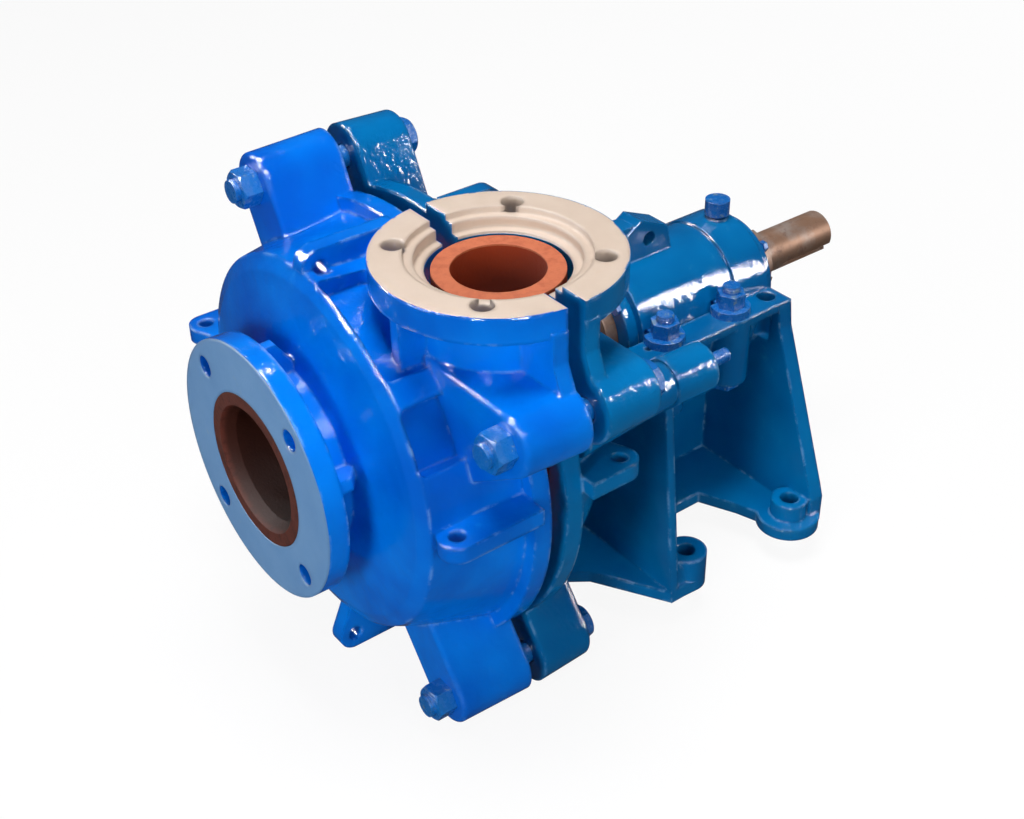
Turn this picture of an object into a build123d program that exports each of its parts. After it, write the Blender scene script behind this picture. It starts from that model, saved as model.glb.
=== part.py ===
from build123d import *
import math
import os

os.makedirs("parts", exist_ok=True)

# Horizontal slurry pump with a lined, vertically split casing.
# The shaft runs along X, from the suction flange to the drive end, and Z is up.
# The origin is the centre of the four foot holes, on the underside of the base.
# A place s is a distance along the shaft from the face of the suction flange,
# and a place z is a height over the shaft's axis. All lengths are in millimetres.

# The whole pump
base_to_suction = 432.0
shaft_height = 216.0
overall_length = 667.0
split_front = 165.0
split_gap = 16.0
split_rear = split_front + split_gap
volute_centre = 178.0
bolt_clearance = 1.0
stud_fit = 0.05
running_gap = 0.3
push_in = 1.5
push_out = 3.0
overrun = 5.0

# Suction flange and neck of the cover
suction_flange_r = 114.5
suction_flange_thick = 19.0
suction_pitch_r = 95.5
suction_hole_r = 9.5
suction_bore_r = 51.0
suction_neck_r = 82.0
suction_neck_end = 43.0
flange_hole_count = 4
neck_rib_count = 5
neck_rib_thick = 10.0
neck_rib_r = 112.0
neck_rib_flat = 11.0
neck_rib_low_r = 90.0

# Shell of the casing
ridge_s = 54.0
ridge_r = 155.0
bowl_front_s = 60.0
bowl_front_r = 168.0
bowl_mid_s = 100.0
bowl_mid_r = 180.0
bowl_rim_r = 192.0
bowl_mid_share = 0.6
rim_r = 205.0
rim_y = 20.0
rim_z = -25.0
rim_thick = 17.0
back_mid_s = 226.0
back_mid_r = 175.0
back_face_s = 252.0
back_face_r = 150.0

# Pockets cast behind the ridge, beside the discharge neck
pocket_front_s = 60.0
pocket_back_s = 108.0
pocket_floor_r = 150.0
pocket_corner_r = 7.0
upper_pocket_start = 98.0
upper_pocket_end = 134.0
lower_pocket_start = 142.0
lower_pocket_end = 161.0

# Hollow of the casing, which the liner fills
hollow_front_s = 82.0
hollow_front_r = 134.0
hollow_mid_s = 110.0
hollow_mid_r = 162.0
hollow_rim_r = 177.0
hollow_back_mid_s = 214.0
hollow_back_mid_r = 160.0
hollow_back_s = 238.0
hollow_back_r = 136.0

# Bolts of the casing, and the bosses round them
casing_bolt_r = 10.0
casing_nut_flats = 30.0
casing_nut_height = 17.0
casing_head_height = 13.0
casing_bolt_tip = 5.0
boss_end_r = 27.0
boss_root_r = 29.0
boss_web_share = 0.8
boss_edge_round = 4.0
top_bolt_y = 123.5
top_bolt_z = 183.0
side_bolt_y = -205.0
side_bolt_z = 93.0
low_bolt_y = -127.5
low_bolt_z = -215.5
far_bolt_y = 224.0
far_bolt_z = -143.0
boss_front_s = 92.0
boss_back_s = 236.0
side_boss_front_s = 104.0
side_block_low_z = -6.0
split_wall_thick = 14.0
split_wall_foot_y = -216.0

# Eyes on both plates, for lifting and jacking
eye_hole_r = 7.0
eye_tip_r = 16.0
eye_thick = 15.0
eye_front_s = 75.0
eye_back_s = 239.0
eye_near_r = 181.0
eye_far_r = 222.0
eye_top_r = 167.0
eye_low_r = 219.0
eye_root_depth = 40.0

# Discharge flange and neck
discharge_y = -102.5
discharge_z = 187.0
discharge_flange_r = 101.5
discharge_flange_thick = 23.0
discharge_pitch_r = 82.5
discharge_hole_r = 9.5
discharge_recess_r = 74.0
discharge_recess_depth = 5.0
discharge_step_r = 66.0
discharge_step_depth = 9.0
discharge_port_r = 58.0
discharge_bore_r = 38.0
discharge_neck_r = 66.0
discharge_neck_root_r = 74.0
discharge_neck_root_z = 60.0
discharge_rib_thick = 11.0
discharge_rib_y = -94.0
discharge_rib_s = 85.0

# Liners
liner_gap = 0.3
liner_ring_r = 53.0
liner_ring_drop = 15.0
throat_top_z = 110.0
throat_r = 32.0
chamber_r = 155.0
chamber_y = 14.0
chamber_z = -17.0
chamber_width = 84.0
chamber_round = 14.0
side_opening_r = 126.0
side_opening_draft = 7.0
bush_lip_r = 68.3
bush_lip_thick = 16.0
bush_tube_r = 63.0
bush_cone_r = 57.0
bush_cone_depth = 12.0
insert_bore_r = 46.0

# Impeller
impeller_r = 122.5
impeller_front = 139.5
impeller_back = 214.5
shroud_thick = 12.5
eye_r = 52.0
nose_s = 158.0
hub_r = 32.0
hub_end = 224.0
vane_count = 5
vane_thick = 13.0
vane_inner_r = 56.0
vane_wrap = 62.0
thread_r = 18.0
thread_start = 175.0

# Stuffing box and gland
box_flange_r = 72.0
box_flange_thick = 8.0
box_barrel_r = 60.0
box_end = 300.0
packing_outer_r = 37.0
packing_width = 8.5
packing_count = 4
neck_ring_width = 12.0
lantern_width = 10.0
gland_nose_depth = 10.0
gland_flange_r = 44.0
gland_flange_thick = 12.0
gland_ear_y = 50.0
gland_ear_r = 12.0
gland_bolt_r = 6.0
gland_nut_flats = 18.0
gland_nut_height = 10.0
gland_split = 1.0

# Shaft and what turns on it
sleeve_r = 27.0
sleeve_bore_r = 20.0
sleeve_end = 340.0
shaft_land_r = 24.0
bearing_bore_r = 27.5
shaft_middle_r = 33.0
shaft_rear_r = 26.0
stub_r = 21.0
stub_gap = 39.0
shaft_chamfer = 2.0
keyway_width = 12.0
keyway_depth = 5.0
keyway_length = 72.0
keyway_angle = 215.0
labyrinth_r = 40.0
labyrinth_width = 13.0
lock_nut_r = 36.0
lock_nut_width = 9.0
lock_nut_slots = 4

# Bearings
front_bearing_s = 385.0
rear_bearing_inset = 42.0
bearing_width = 30.0
race_outer_r = 50.0
race_thick = 6.5
inner_race_thick = 7.0
roller_count = 12
cage_wall = 3.0

# Bearing housing
housing_front = 372.0
housing_r = 62.4
land_length = 44.0
land_r = 63.8
housing_end = 531.0
groove_width = 2.0
groove_depth = 1.4
cover_thick = 12.0
cover_r = 55.0
cover_screw_flats = 10.0
cover_screw_head = 5.0
cover_screw_count = 4
shim_thick = 0.8
lug_thick = 26.0
lug_start = 386.0
lug_peak_s = 408.0
lug_end = 447.0
lug_shoulder_z = 86.0
lug_peak_z = 100.0
lug_hole_s = 418.0
lug_hole_z = 79.0
lug_hole_r = 7.0
plug_s = 394.0
plug_r = 11.0
plug_top_z = 96.0
grease_inset = 13.5
grease_neck_r = 7.0
grease_neck_top_z = 68.0
grease_cap_r = 12.0
grease_cap_top_z = 83.0
grease_cap_wall = 2.5

# Adjusting screw under the housing
screw_z = -82.0
screw_r = 8.0
screw_flats = 24.0
screw_head_height = 10.0
screw_nut_height = 8.0
screw_tip = 17.0
arm_width = 20.0
arm_thick = 7.5
lug_plate_gap = 18.0
lug_plate_thick = 12.0
lug_plate_drop = 16.0
head_room_share = 0.75

# Base
floor_thick = 12.0
foot_spacing_x = 140.0
foot_spacing_y = 284.0
foot_hole_r = 9.0
front_foot_r = 20.0
front_foot_height = 36.0
rear_foot_r = 18.0
rear_foot_height = 30.0
rear_pad_r = 31.0
front_wall_s = 328.5
front_wall_thick = 9.0
front_wall_foot_y = 161.0
front_wall_top_y = 139.0
rear_wall_inset = 17.0
rear_wall_thick = 16.0
rear_wall_foot_y = 156.0
rear_wall_foot_z = -174.0
rear_wall_top_y = 97.0
web_thick = 12.0
cradle_wall = 13.0
top_plate_z = 10.0
top_plate_thick = 9.0
top_plate_y = 93.5
top_plate_front = 361.0
top_hole_inset = 16.0
top_hole_y = 75.0
top_hole_r = 9.0
pin_hole_s = 365.0
pin_hole_r = 3.0
toe_front = 262.0
toe_y = 70.0
toe_wall_thick = 13.0
toe_wall_top_z = -138.0
notch_y = 64.0
notch_start = 400.0
notch_end = 454.0
lug_block_r = 22.0
lug_block_front = 305.0
lug_block_back = 350.0
lug_block_foot_y = 100.0
lug_block_foot_z = -12.0

# Studs between the base and the casing
frame_stud_r = 6.0
frame_stud_y = 158.0
frame_stud_z = 40.0
low_stud_y = 45.0
low_stud_z = -160.0
frame_stud_depth = 26.0
frame_nut_flats = 18.0
frame_nut_height = 9.0
frame_stud_tip = 20.0
stud_boss_start = 205.0
stud_boss_root_r = 27.0
stud_boss_end_r = 20.0

# Clamps of the housing
clamp_front_s = 385.0
clamp_rear_inset = 63.0
clamp_y = 74.0
clamp_bolt_r = 8.0
clamp_washer_r = 19.0
clamp_washer_thick = 8.0
clamp_tongue_y = 57.5
clamp_tongue_width = 16.0
clamp_nut_flats = 24.0
clamp_nut_height = 14.0
clamp_bolt_tip = 7.0
clamp_boss_r = 21.0
clamp_boss_low_z = -61.0
clamp_head_height = 10.0

# Places that follow the end of the bearing housing
land_start = housing_end - land_length
rear_bearing_s = housing_end - rear_bearing_inset
grease_s = housing_end - grease_inset
rear_wall_s = housing_end - rear_wall_inset
top_hole_s = housing_end - top_hole_inset
clamp_rear_s = housing_end - clamp_rear_inset
lug_plate_s = housing_end + lug_plate_gap
screw_end = lug_plate_s + lug_plate_thick + screw_tip
stub_start = housing_end + stub_gap

shaft_axis = Axis((0, 0, shaft_height), (1, 0, 0))


def place(s, y=0.0, z=0.0):
    return Vector(s - base_to_suction, y, shaft_height + z)


def across(s, y=0.0, z=0.0):
    # A plane across the shaft, with Y to the right and Z up
    return Plane(place(s, y, z), x_dir=(0, 1, 0), z_dir=(1, 0, 0))


def level(z, s=0.0, y=0.0):
    # A level plane, with X to the right and Y up
    return Plane(place(s, y, z))


def along(angle=90.0, y=0.0):
    # A plane along the shaft, which leaves its axis at an angle from +Y towards +Z
    turn = math.radians(angle)
    return Plane(place(0, y), x_dir=(1, 0, 0), z_dir=(0, -math.sin(turn), math.cos(turn)))


def outline(*points):
    return make_face(Polyline(*points, close=True))


def hull(circles, points=()):
    # The outline that a band round the circles and points would take
    edges = []
    for x, y, r in circles:
        edges += (Pos(x, y) * Circle(r)).edges()
    if len(points) > 1:
        edges += Polyline(*points).edges()
    return make_hull(edges)


def turned(*points):
    # A round piece from (s, radius) corners
    return revolve(along() * outline(*points), shaft_axis)


def bar(start, end, r, y=0.0, z=0.0):
    return extrude(across(start, y, z) * Circle(r), end - start)


def tube(start, end, r, bore, y=0.0, z=0.0):
    return bar(start, end, r, y, z) - bar(start - overrun, end + overrun, bore, y, z)


def post(low, high, r, s, y):
    return extrude(level(low, s, y) * Circle(r), high - low)


def hexagon(flats):
    return RegularPolygon(flats / 2, 6, major_radius=False)


def hex_bar(start, end, flats, y=0.0, z=0.0):
    return extrude(across(start, y, z) * hexagon(flats), end - start)


def hex_nut(start, end, flats, bore, y=0.0, z=0.0):
    # A nut with its outer corners turned down
    high = max(end, start)
    low = min(end, start)
    corner_r = flats / math.sqrt(3)
    bevel = corner_r - flats / 2
    nut = extrude(across(low, y, z) * hexagon(flats), high - low)
    tip = -bevel if end > start else bevel
    cone = loft([across(end, y, z) * Circle(flats / 2), across(end + tip, y, z) * Circle(corner_r)])
    straight = bar(min(start, end + tip), max(start, end + tip), corner_r, y, z)
    nut = nut & (cone + straight)
    return nut - bar(low - overrun, high + overrun, bore, y, z)


def ring_face(s, r, share):
    # A circle of the shell, whose centre moves from the shaft's axis to the rim's centre
    return across(s, rim_y * share, rim_z * share) * Circle(r)


def mirrored(piece):
    return piece + mirror(piece, Plane.XZ)


def group(pieces):
    return Compound([solid for piece in pieces for solid in piece.solids()])


bolt_places = {
    "top": (top_bolt_y, top_bolt_z, boss_front_s),
    "side": (side_bolt_y, side_bolt_z, side_boss_front_s),
    "low": (low_bolt_y, low_bolt_z, boss_front_s),
    "far": (far_bolt_y, far_bolt_z, boss_front_s),
}
eye_places = ((180.0, eye_near_r), (0.0, eye_far_r), (90.0, eye_top_r), (270.0, eye_low_r))
toe_wall_back = toe_front + toe_wall_thick
stud_places = (
    (frame_stud_y, frame_stud_z, lug_block_front, lug_block_back),
    (-frame_stud_y, frame_stud_z, lug_block_front, lug_block_back),
    (low_stud_y, low_stud_z, toe_front, toe_wall_back),
    (-low_stud_y, low_stud_z, toe_front, toe_wall_back),
)
chamber_front = volute_centre - chamber_width / 2
chamber_back = volute_centre + chamber_width / 2


# The hollow of the casing and the liner in it have one shape

def casing_hollow(gap):
    front = loft([
        ring_face(hollow_front_s + gap, hollow_front_r - gap, 0),
        ring_face(hollow_mid_s, hollow_mid_r - gap, bowl_mid_share),
        ring_face(split_front, hollow_rim_r - gap, 1),
    ])
    middle = extrude(ring_face(split_front, hollow_rim_r - gap, 1), split_gap)
    back = loft([
        ring_face(split_rear, hollow_rim_r - gap, 1),
        ring_face(hollow_back_mid_s, hollow_back_mid_r - gap, bowl_mid_share),
        ring_face(hollow_back_s - gap, hollow_back_r - gap, 0),
    ])
    return front + middle + back


def casing_boss(y, z, start, end, start_r, end_r):
    # A drafted boss with a web that runs into the shell, rounded at its free end
    root_y = rim_y + (y - rim_y) * boss_web_share * rim_r / math.hypot(y - rim_y, z - rim_z)
    root_z = rim_z + (z - rim_z) * boss_web_share * rim_r / math.hypot(y - rim_y, z - rim_z)
    faces = []
    for s, r in ((start, start_r), (end, end_r)):
        faces.append(across(s) * hull([(y, z, r), (root_y, root_z, r)]))
    boss = loft(faces, ruled=True)
    free = boss.faces().sort_by(Axis.X)[0 if start_r < end_r else -1]
    return fillet(free.edges(), boss_edge_round)


def side_block(start, end):
    # The block round the near bolt, which runs into the discharge neck
    top = side_bolt_z + boss_end_r
    face = hull(
        [(side_bolt_y, side_bolt_z, boss_end_r)],
        [(discharge_y, top), (discharge_y, side_block_low_z)],
    )
    block = extrude(across(start) * face, end - start)
    free = block.faces().sort_by(Axis.X)[0 if start < split_front else -1]
    return fillet(free.edges(), boss_edge_round)


def split_wall(start):
    # The wall along the split, from the discharge flange down to the near bolt
    flange_low = discharge_z - discharge_flange_thick
    rim = discharge_y - discharge_flange_r
    return extrude(across(start) * outline(
        (discharge_y, flange_low + overrun),
        (rim, flange_low + overrun),
        (rim, (flange_low + side_bolt_z + boss_end_r) / 2),
        (split_wall_foot_y, side_bolt_z + boss_end_r * 0.8),
        (split_wall_foot_y, side_bolt_z),
        (discharge_y, side_bolt_z),
    ), split_wall_thick)


def pocket(first, last):
    # A pocket in the shell between two angles, from +Y towards +Z
    ring = tube(pocket_front_s, pocket_back_s, bowl_rim_r, pocket_floor_r)
    corners = [(0, 0)]
    for angle in (first, (first + last) / 2, last):
        turn = math.radians(angle)
        corners.append((bowl_rim_r * 1.5 * math.cos(turn), bowl_rim_r * 1.5 * math.sin(turn)))
    wedge = extrude(across(pocket_front_s) * outline(*corners), pocket_back_s - pocket_front_s)
    piece = ring & wedge
    sides = piece.edges().filter_by(GeomType.LINE).filter_by(Axis.X, reverse=True)
    return fillet(sides, pocket_corner_r)


def plate_eye(angle, r, hole_s, rim_s):
    # A flat eye that bridges from its rounded tip to the rim
    root = r - eye_root_depth
    face = hull([(hole_s, r, eye_tip_r)], [(rim_s, r + eye_tip_r), (rim_s, root), (hole_s, root)])
    eye = extrude(along(angle) * face, eye_thick / 2, both=True)
    hole = extrude(along(angle) * Pos(hole_s, r) * Circle(eye_hole_r), eye_thick, both=True)
    return eye, hole


def discharge_half(front):
    # The neck and the half flange that one of the two plates carries
    flange_low = discharge_z - discharge_flange_thick
    neck = loft([
        level(discharge_neck_root_z, volute_centre, discharge_y) * Circle(discharge_neck_root_r),
        level(flange_low, volute_centre, discharge_y) * Circle(discharge_neck_r),
    ])
    half = neck + post(flange_low, discharge_z, discharge_flange_r, volute_centre, discharge_y)
    if front:
        return split(half, across(split_front), Keep.BOTTOM)
    return split(half, across(split_rear), Keep.TOP)


def discharge_cuts():
    cuts = post(0, discharge_z + overrun, discharge_port_r, volute_centre, discharge_y)
    recess_low = discharge_z - discharge_recess_depth
    step_low = recess_low - discharge_step_depth
    cuts += post(recess_low, discharge_z + overrun, discharge_recess_r, volute_centre, discharge_y)
    cuts += post(step_low, discharge_z + overrun, discharge_step_r, volute_centre, discharge_y)
    for k in range(flange_hole_count):
        turn = math.radians(360 / flange_hole_count * (k + 0.5))
        s = volute_centre + discharge_pitch_r * math.cos(turn)
        y = discharge_y + discharge_pitch_r * math.sin(turn)
        low = discharge_z - discharge_flange_thick - overrun
        cuts += post(low, discharge_z + overrun, discharge_hole_r, s, y)
    return cuts


# Cover plate

cover = turned(
    (0, 0),
    (0, suction_flange_r),
    (suction_flange_thick, suction_flange_r),
    (suction_flange_thick, suction_neck_r),
    (suction_neck_end, suction_neck_r),
    (ridge_s, ridge_r),
    (bowl_front_s, bowl_front_r),
    (bowl_front_s + overrun, 0),
)
cover += loft([
    ring_face(bowl_front_s, bowl_front_r, 0),
    ring_face(bowl_mid_s, bowl_mid_r, bowl_mid_share),
    ring_face(split_front - rim_thick, bowl_rim_r, 1),
])
cover -= pocket(upper_pocket_start, upper_pocket_end)
cover -= pocket(lower_pocket_start, lower_pocket_end)
cover += extrude(ring_face(split_front - rim_thick, rim_r, 1), rim_thick)
for k in range(neck_rib_count):
    rib = along(90.0 + 360 / neck_rib_count * k) * outline(
        (suction_flange_thick, suction_neck_r - neck_rib_thick),
        (suction_flange_thick, neck_rib_r),
        (suction_flange_thick + neck_rib_flat, neck_rib_r),
        (suction_neck_end + overrun / 2, neck_rib_low_r),
        (suction_neck_end + overrun / 2, suction_neck_r - neck_rib_thick),
    )
    cover += extrude(rib, neck_rib_thick / 2, both=True)
for name, (y, z, front) in bolt_places.items():
    cover += casing_boss(y, z, front, split_front, boss_end_r, boss_root_r)
cover += side_block(side_boss_front_s, split_front)
cover += split_wall(split_front - split_wall_thick)
eye_holes = []
for angle, r in eye_places:
    eye, hole = plate_eye(angle, r, eye_front_s, split_front - rim_thick)
    cover += eye
    eye_holes.append(hole)
cover += discharge_half(True)
cover += extrude(along(90.0, discharge_rib_y) * outline(
    (discharge_rib_s, discharge_z - discharge_flange_thick),
    (volute_centre - discharge_neck_r, discharge_z - discharge_flange_thick),
    (volute_centre - discharge_neck_r, discharge_neck_root_z),
    (discharge_rib_s, discharge_neck_root_z),
), discharge_rib_thick / 2, both=True)
cover -= casing_hollow(0)
cover -= bar(-overrun, hollow_front_s + overrun, bush_tube_r + liner_gap)
cover -= bar(-overrun, bush_lip_thick + liner_gap, bush_lip_r + liner_gap)
cover -= discharge_cuts()
for k in range(flange_hole_count):
    turn = math.radians(360 / flange_hole_count * (k + 0.5))
    y = suction_pitch_r * math.cos(turn)
    z = suction_pitch_r * math.sin(turn)
    cover -= bar(-overrun, suction_flange_thick + overrun, suction_hole_r, y, z)
for name, (y, z, front) in bolt_places.items():
    cover -= bar(front - overrun, split_front + overrun, casing_bolt_r + bolt_clearance, y, z)
for hole in eye_holes:
    cover -= hole

# Frame plate

frame_plate = extrude(ring_face(split_rear, rim_r, 1), rim_thick)
frame_plate += loft([
    ring_face(split_rear + rim_thick, bowl_rim_r, 1),
    ring_face(back_mid_s, back_mid_r, bowl_mid_share),
    ring_face(back_face_s, back_face_r, 0),
])
for name, (y, z, front) in bolt_places.items():
    frame_plate += casing_boss(y, z, split_rear, boss_back_s, boss_root_r, boss_end_r)
frame_plate += side_block(split_rear, boss_back_s)
frame_plate += split_wall(split_rear)
eye_holes = []
for angle, r in eye_places:
    eye, hole = plate_eye(angle, r, eye_back_s, split_rear + rim_thick)
    frame_plate += eye
    eye_holes.append(hole)
for y, z, front, back in stud_places:
    length = front - stud_boss_start
    cone = Cone(stud_boss_root_r, stud_boss_end_r, length, align=(Align.CENTER, Align.CENTER, Align.MIN))
    frame_plate += across(stud_boss_start, y, z) * cone
frame_plate += discharge_half(False)
frame_plate -= casing_hollow(0)
frame_plate -= discharge_cuts()
frame_plate -= bar(hollow_back_s - overrun, hollow_back_s + box_flange_thick + liner_gap, box_flange_r + liner_gap)
frame_plate -= bar(hollow_back_s, back_face_s + overrun, box_barrel_r + liner_gap)
for name, (y, z, front) in bolt_places.items():
    frame_plate -= bar(split_rear - overrun, boss_back_s + overrun, casing_bolt_r + bolt_clearance, y, z)
for y, z, front, back in stud_places:
    stud_start = front - frame_stud_depth
    frame_plate -= bar(stud_start - stud_fit, front + overrun, frame_stud_r + stud_fit, y, z)
for hole in eye_holes:
    frame_plate -= hole

# Casing bolts and nuts

casing_bolts = []
casing_nuts = []
for name, (y, z, front) in bolt_places.items():
    head_end = boss_back_s + casing_head_height
    nut_end = front - casing_nut_height
    bolt = hex_nut(boss_back_s, head_end, casing_nut_flats, casing_bolt_r, y, z)
    bolt += bar(nut_end - casing_bolt_tip, head_end, casing_bolt_r, y, z)
    casing_bolts.append(bolt)
    casing_nuts.append(hex_nut(front, nut_end, casing_nut_flats, casing_bolt_r + stud_fit, y, z))

# Volute liner, throat bush and back liner

ring_top = discharge_z - liner_ring_drop
liner = casing_hollow(liner_gap) + post(0, ring_top, liner_ring_r, volute_centre, discharge_y)
chamber = extrude(across(chamber_front, chamber_y, chamber_z) * Circle(chamber_r), chamber_width)
chamber = fillet(chamber.edges().filter_by(GeomType.CIRCLE), chamber_round)
liner -= chamber
liner -= post(throat_top_z, ring_top + overrun, discharge_bore_r, volute_centre, discharge_y)
liner -= loft([
    level(0, volute_centre, discharge_y) * Circle(throat_r),
    level(throat_top_z, volute_centre, discharge_y) * Circle(discharge_bore_r),
])
opening_small_r = side_opening_r - side_opening_draft
liner -= turned(
    (hollow_front_s - overrun, 0),
    (hollow_front_s - overrun, opening_small_r),
    (hollow_front_s, opening_small_r),
    (chamber_front, side_opening_r),
    (chamber_back, side_opening_r),
    (hollow_back_s, opening_small_r),
    (hollow_back_s + overrun, opening_small_r),
    (hollow_back_s + overrun, 0),
)

bush = turned(
    (0, bush_cone_r),
    (0, bush_lip_r),
    (bush_lip_thick, bush_lip_r),
    (bush_lip_thick, bush_tube_r),
    (hollow_front_s + liner_gap, bush_tube_r),
    (hollow_front_s + liner_gap, opening_small_r - liner_gap),
    (chamber_front, side_opening_r - liner_gap),
    (chamber_front, suction_bore_r),
    (bush_cone_depth, suction_bore_r),
)
back_liner = turned(
    (chamber_back, insert_bore_r),
    (chamber_back, side_opening_r - liner_gap),
    (hollow_back_s - liner_gap, opening_small_r - liner_gap),
    (hollow_back_s - liner_gap, insert_bore_r),
)

# Impeller

impeller = turned(
    (impeller_front, eye_r),
    (impeller_front, impeller_r),
    (impeller_front + shroud_thick, impeller_r),
    (impeller_front + shroud_thick, eye_r),
)
impeller += turned(
    (nose_s, 0),
    (nose_s + hub_r * 0.15, thread_r),
    (volute_centre, hub_r),
    (impeller_back - shroud_thick, eye_r * 1.2),
    (impeller_back - shroud_thick, impeller_r),
    (impeller_back, impeller_r),
    (impeller_back, hub_r),
    (hub_end, hub_r),
    (hub_end, thread_r + stud_fit),
    (thread_start, thread_r + stud_fit),
    (thread_start, 0),
)
vane_tip_r = impeller_r - vane_thick / 4
vane_points = []
for share in (0, 0.5, 1):
    r = vane_inner_r + (vane_tip_r - vane_inner_r) * share
    turn = math.radians(vane_wrap * share)
    vane_points.append((r * math.cos(turn), r * math.sin(turn)))
vane_face = trace(ThreePointArc(*vane_points), vane_thick)
for k in range(vane_count):
    face = across(impeller_front + shroud_thick / 2) * Rot(0, 0, 360 / vane_count * k) * vane_face
    impeller += extrude(face, impeller_back - impeller_front - shroud_thick)

# Stuffing box, its rings and the gland

box_start = hollow_back_s
bore_start = box_start + neck_ring_width
lantern_start = bore_start
packing_start = lantern_start + lantern_width
packing_end = packing_start + packing_width * packing_count
ring_bore = sleeve_r + running_gap
stuffing_box = turned(
    (box_start, ring_bore + neck_ring_width / 2),
    (box_start, box_flange_r),
    (box_start + box_flange_thick, box_flange_r),
    (box_start + box_flange_thick, box_barrel_r),
    (box_end, box_barrel_r),
    (box_end, packing_outer_r),
    (box_start + neck_ring_width / 3, packing_outer_r),
    (box_start + neck_ring_width / 3, ring_bore + neck_ring_width / 2),
)
for side in (-1, 1):
    stuffing_box -= bar(packing_end, box_end + overrun, gland_bolt_r + stud_fit, gland_ear_y * side)
neck_ring = tube(box_start + neck_ring_width / 3 + stud_fit, bore_start, packing_outer_r - stud_fit, ring_bore)
lantern_ring = tube(lantern_start, packing_start, packing_outer_r - stud_fit, ring_bore)
lantern_ring -= tube(
    lantern_start + lantern_width / 4, packing_start - lantern_width / 4,
    packing_outer_r + overrun, packing_outer_r - lantern_width / 4,
)
packing_rings = []
for k in range(packing_count):
    start = packing_start + packing_width * k
    packing_rings.append(tube(start + stud_fit, start + packing_width, packing_outer_r - stud_fit, ring_bore))
gland_start = box_end + gland_nose_depth / 2
gland_face = hull([
    (0, 0, gland_flange_r),
    (gland_ear_y, 0, gland_ear_r),
    (-gland_ear_y, 0, gland_ear_r),
])
gland = extrude(across(gland_start) * gland_face, gland_flange_thick)
gland += bar(packing_end + stud_fit, gland_start, packing_outer_r - stud_fit)
gland -= bar(packing_end - overrun, gland_start + gland_flange_thick + overrun, ring_bore)
for side in (-1, 1):
    gland -= bar(packing_end, box_end + gland_ear_y, gland_bolt_r + bolt_clearance / 2, gland_ear_y * side)
gland_cut = extrude(
    across(packing_end - overrun) * Rectangle(gland_split, gland_flange_r * 4),
    gland_start + gland_flange_thick - packing_end + overrun * 2,
)
gland -= gland_cut
gland_bolts = []
gland_end = gland_start + gland_flange_thick
for side in (-1, 1):
    y = gland_ear_y * side
    gland_bolts.append(bar(packing_end + stud_fit, gland_end + gland_nut_height * 1.5, gland_bolt_r, y))
gland_nuts = []
for side in (-1, 1):
    y = gland_ear_y * side
    gland_nuts.append(
        hex_nut(gland_end, gland_end + gland_nut_height, gland_nut_flats, gland_bolt_r + stud_fit, y)
    )

# Shaft, sleeve, labyrinths and lock nut

front_bearing_end = front_bearing_s + bearing_width
rear_bearing_end = rear_bearing_s + bearing_width
shaft = turned(
    (thread_start + stud_fit, 0),
    (thread_start + stud_fit, thread_r),
    (hub_end, thread_r),
    (hub_end, sleeve_bore_r),
    (sleeve_end, sleeve_bore_r),
    (sleeve_end, shaft_land_r),
    (front_bearing_s - bearing_width / 4, shaft_land_r),
    (front_bearing_s - bearing_width / 4, bearing_bore_r),
    (front_bearing_end, bearing_bore_r),
    (front_bearing_end, shaft_middle_r),
    (rear_bearing_s, shaft_middle_r),
    (rear_bearing_s, bearing_bore_r),
    (rear_bearing_end + bearing_width / 6, bearing_bore_r),
    (rear_bearing_end + bearing_width / 6, shaft_rear_r),
    (stub_start, shaft_rear_r),
    (stub_start, stub_r),
    (overall_length - shaft_chamfer, stub_r),
    (overall_length, stub_r - shaft_chamfer),
    (overall_length, 0),
)
keyway_turn = math.radians(keyway_angle)
keyway_plane = Plane(
    place(overall_length - keyway_length + keyway_width / 2),
    x_dir=(1, 0, 0),
    z_dir=(0, math.cos(keyway_turn), math.sin(keyway_turn)),
)
keyway_face = Pos(keyway_length / 2, 0) * SlotOverall(keyway_length + keyway_width, keyway_width)
shaft -= extrude(keyway_plane.offset(stub_r - keyway_depth) * keyway_face, stub_r)
shaft_sleeve = tube(hub_end + stud_fit, sleeve_end, sleeve_r, sleeve_bore_r + stud_fit)
front_labyrinth_end = housing_front - cover_thick - running_gap
front_labyrinth = tube(
    front_labyrinth_end - labyrinth_width, front_labyrinth_end, labyrinth_r, shaft_land_r + stud_fit)
front_labyrinth -= tube(
    front_labyrinth_end - labyrinth_width / 3, front_labyrinth_end + overrun,
    labyrinth_r - cage_wall, labyrinth_r - cage_wall * 2)
rear_labyrinth_start = housing_end + cover_thick + running_gap
rear_labyrinth = tube(
    rear_labyrinth_start, rear_labyrinth_start + labyrinth_width, labyrinth_r, shaft_rear_r + stud_fit)
rear_labyrinth -= tube(
    rear_labyrinth_start - overrun, rear_labyrinth_start + labyrinth_width / 3,
    labyrinth_r - cage_wall, labyrinth_r - cage_wall * 2)
lock_nut_start = rear_labyrinth_start + labyrinth_width + stud_fit
lock_nut = tube(lock_nut_start, lock_nut_start + lock_nut_width, lock_nut_r, shaft_rear_r + stud_fit)
for k in range(lock_nut_slots):
    notch = across(lock_nut_start - overrun) * Rot(0, 0, 360 / lock_nut_slots * k)
    notch = notch * Pos(lock_nut_r, 0) * Rectangle(lock_nut_width / 2, lock_nut_width)
    lock_nut -= extrude(notch, lock_nut_width + overrun * 2)

# Bearings

race_inner_r = race_outer_r - race_thick
track_r = bearing_bore_r + inner_race_thick
roller_r = (race_inner_r - track_r) / 2 - running_gap
roller_pitch_r = (race_inner_r + track_r) / 2
roller_length = bearing_width * 0.66


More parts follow.
